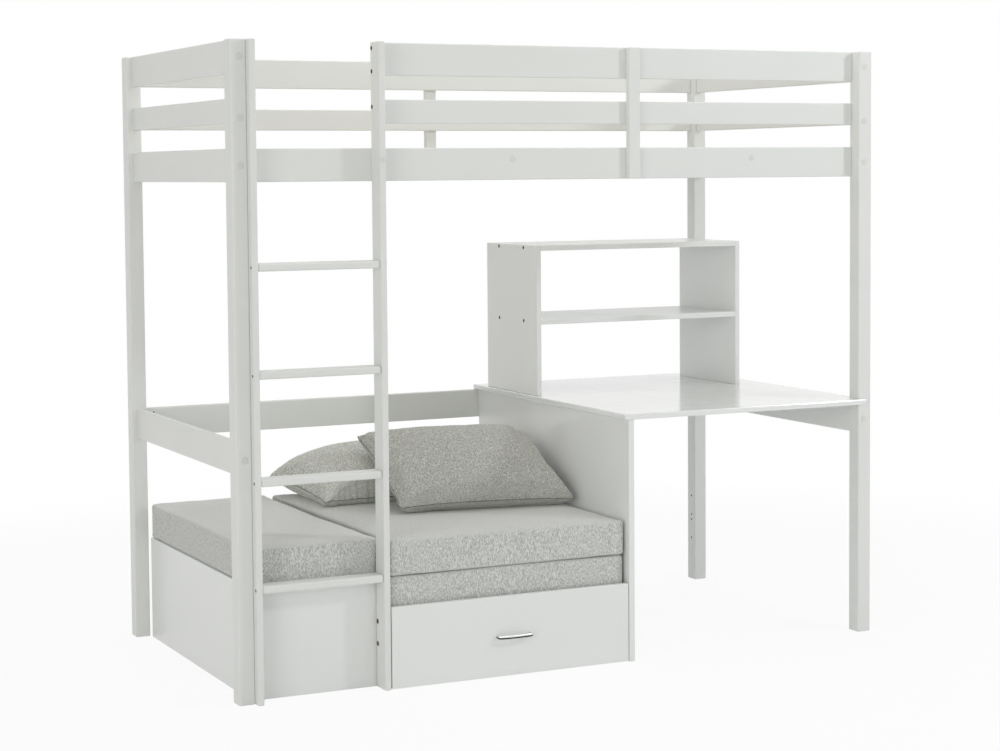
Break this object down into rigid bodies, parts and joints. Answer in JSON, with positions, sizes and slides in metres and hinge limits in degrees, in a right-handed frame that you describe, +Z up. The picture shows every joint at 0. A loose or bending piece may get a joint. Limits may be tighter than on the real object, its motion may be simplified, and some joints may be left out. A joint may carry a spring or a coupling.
{
  "type": "loft bed",
  "caption": "High sleeper bed on four posts with a ladder, guard rails, a slatted deck, a desk with a shelf unit, and a cushioned seat whose front half pulls out on castors.",
  "frame": {"origin": "middle of the bounding box's base, on the floor", "axes": "+X along the bed from the ladder end to the desk end, +Y from the ladder side to the back, +Z up"},
  "size_m": [2, 1.057, 1.74],
  "materials": {
    "lacquered_timber": "white satin lacquer on solid timber",
    "lacquered_board": "white semi-gloss lacquered board",
    "bare_timber": "planed, unfinished softwood",
    "upholstery": "grey melange woven cover over foam or filling",
    "satin_nickel": "satin nickel",
    "zinc_plated_steel": "zinc plated",
    "castor_plastic": "matte black"
  },
  "bodies": {
    "frame": {"post_front_left": "lacquered_timber", "post_front_right": "lacquered_timber", "post_back_left": "lacquered_timber", "post_back_right": "lacquered_timber", "front_guard_rail_top": "lacquered_timber", "front_guard_rail_middle": "lacquered_timber", "front_side_rail": "lacquered_timber", "back_guard_rail_top": "lacquered_timber", "back_guard_rail_middle": "lacquered_timber", "back_side_rail": "lacquered_timber", "back_low_rail": "lacquered_timber", "left_end_rail_top": "lacquered_timber", "left_end_rail_middle": "lacquered_timber", "left_end_rail_lower": "lacquered_timber", "left_low_rail": "lacquered_timber", "right_end_rail_top": "lacquered_timber", "right_end_rail_middle": "lacquered_timber", "right_end_rail_lower": "lacquered_timber", "right_low_rail": "lacquered_timber", "front_strut": "lacquered_timber", "back_strut": "lacquered_timber", "ladder_stile_left": "lacquered_timber", "ladder_stile_right": "lacquered_timber", "ladder_rung_1": "lacquered_timber", "ladder_rung_2": "lacquered_timber", "ladder_rung_3": "lacquered_timber", "ladder_rung_4": "lacquered_timber", "divider_panel": "lacquered_board", "desk_top": "lacquered_board", "hutch_side_left": "lacquered_board", "hutch_side_right": "lacquered_board", "hutch_top_board": "lacquered_board", "hutch_shelf": "lacquered_board", "seat_box_front": "lacquered_board", "seat_box_end": "lacquered_board", "seat_box_side": "lacquered_board", "seat_box_back": "lacquered_board", "seat_box_top": "lacquered_board", "front_slat_ledger": "bare_timber", "back_slat_ledger": "bare_timber", "deck_slat_roll": "bare_timber", "seat_slats_fixed": "bare_timber"},
    "pull_out": {"pull_out_front": "lacquered_board", "pull_out_slats": "bare_timber", "pull_out_handle": "satin_nickel", "castor_fork_left": "zinc_plated_steel", "castor_fork_right": "zinc_plated_steel"},
    "wheel_left": {"castor_wheel_left": "castor_plastic"},
    "wheel_right": {"castor_wheel_right": "castor_plastic"},
    "box_cushion": {"cushion_box": "upholstery"},
    "seat_cushion_lower": {"cushion_seat_lower": "upholstery"},
    "seat_cushion_upper": {"cushion_seat_upper": "upholstery"},
    "back_pillow": {"pillow_back": "upholstery"},
    "front_pillow": {"pillow_front": "upholstery"}
  },
  "joints": [
    {"name": "pull_out_slide", "type": "slide", "parent": "frame", "child": "pull_out", "axis": [0, -1, 0], "range_m": [0, 0.8]},
    {"name": "wheel_left_spin", "type": "hinge", "parent": "pull_out", "child": "wheel_left", "pos_m": [-0.5145, -0.461, 0.022], "axis": [1, 0, 0], "continuous": true},
    {"name": "wheel_right_spin", "type": "hinge", "parent": "pull_out", "child": "wheel_right", "pos_m": [0.0935, -0.461, 0.022], "axis": [1, 0, 0], "continuous": true},
    {"name": "box_cushion_lift", "type": "slide", "parent": "frame", "child": "box_cushion", "axis": [0, 0, 1], "range_m": [0, 0.15]},
    {"name": "seat_cushion_lower_lift", "type": "slide", "parent": "frame", "child": "seat_cushion_lower", "axis": [0, 0, 1], "range_m": [0, 0.12]},
    {"name": "seat_cushion_upper_lift", "type": "slide", "parent": "seat_cushion_lower", "child": "seat_cushion_upper", "axis": [0, 0, 1], "range_m": [0, 0.12]},
    {"name": "back_pillow_lift", "type": "slide", "parent": "seat_cushion_upper", "child": "back_pillow", "axis": [0, 0, 1], "range_m": [0, 0.12]},
    {"name": "front_pillow_lift", "type": "slide", "parent": "back_pillow", "child": "front_pillow", "axis": [0, 0, 1], "range_m": [0, 0.12]}
  ],
  "couplings": [
    {"joint": "wheel_left_spin", "follows": "pull_out_slide", "rad_per_m": 45.455},
    {"joint": "wheel_right_spin", "follows": "pull_out_slide", "rad_per_m": 45.455}
  ]
}
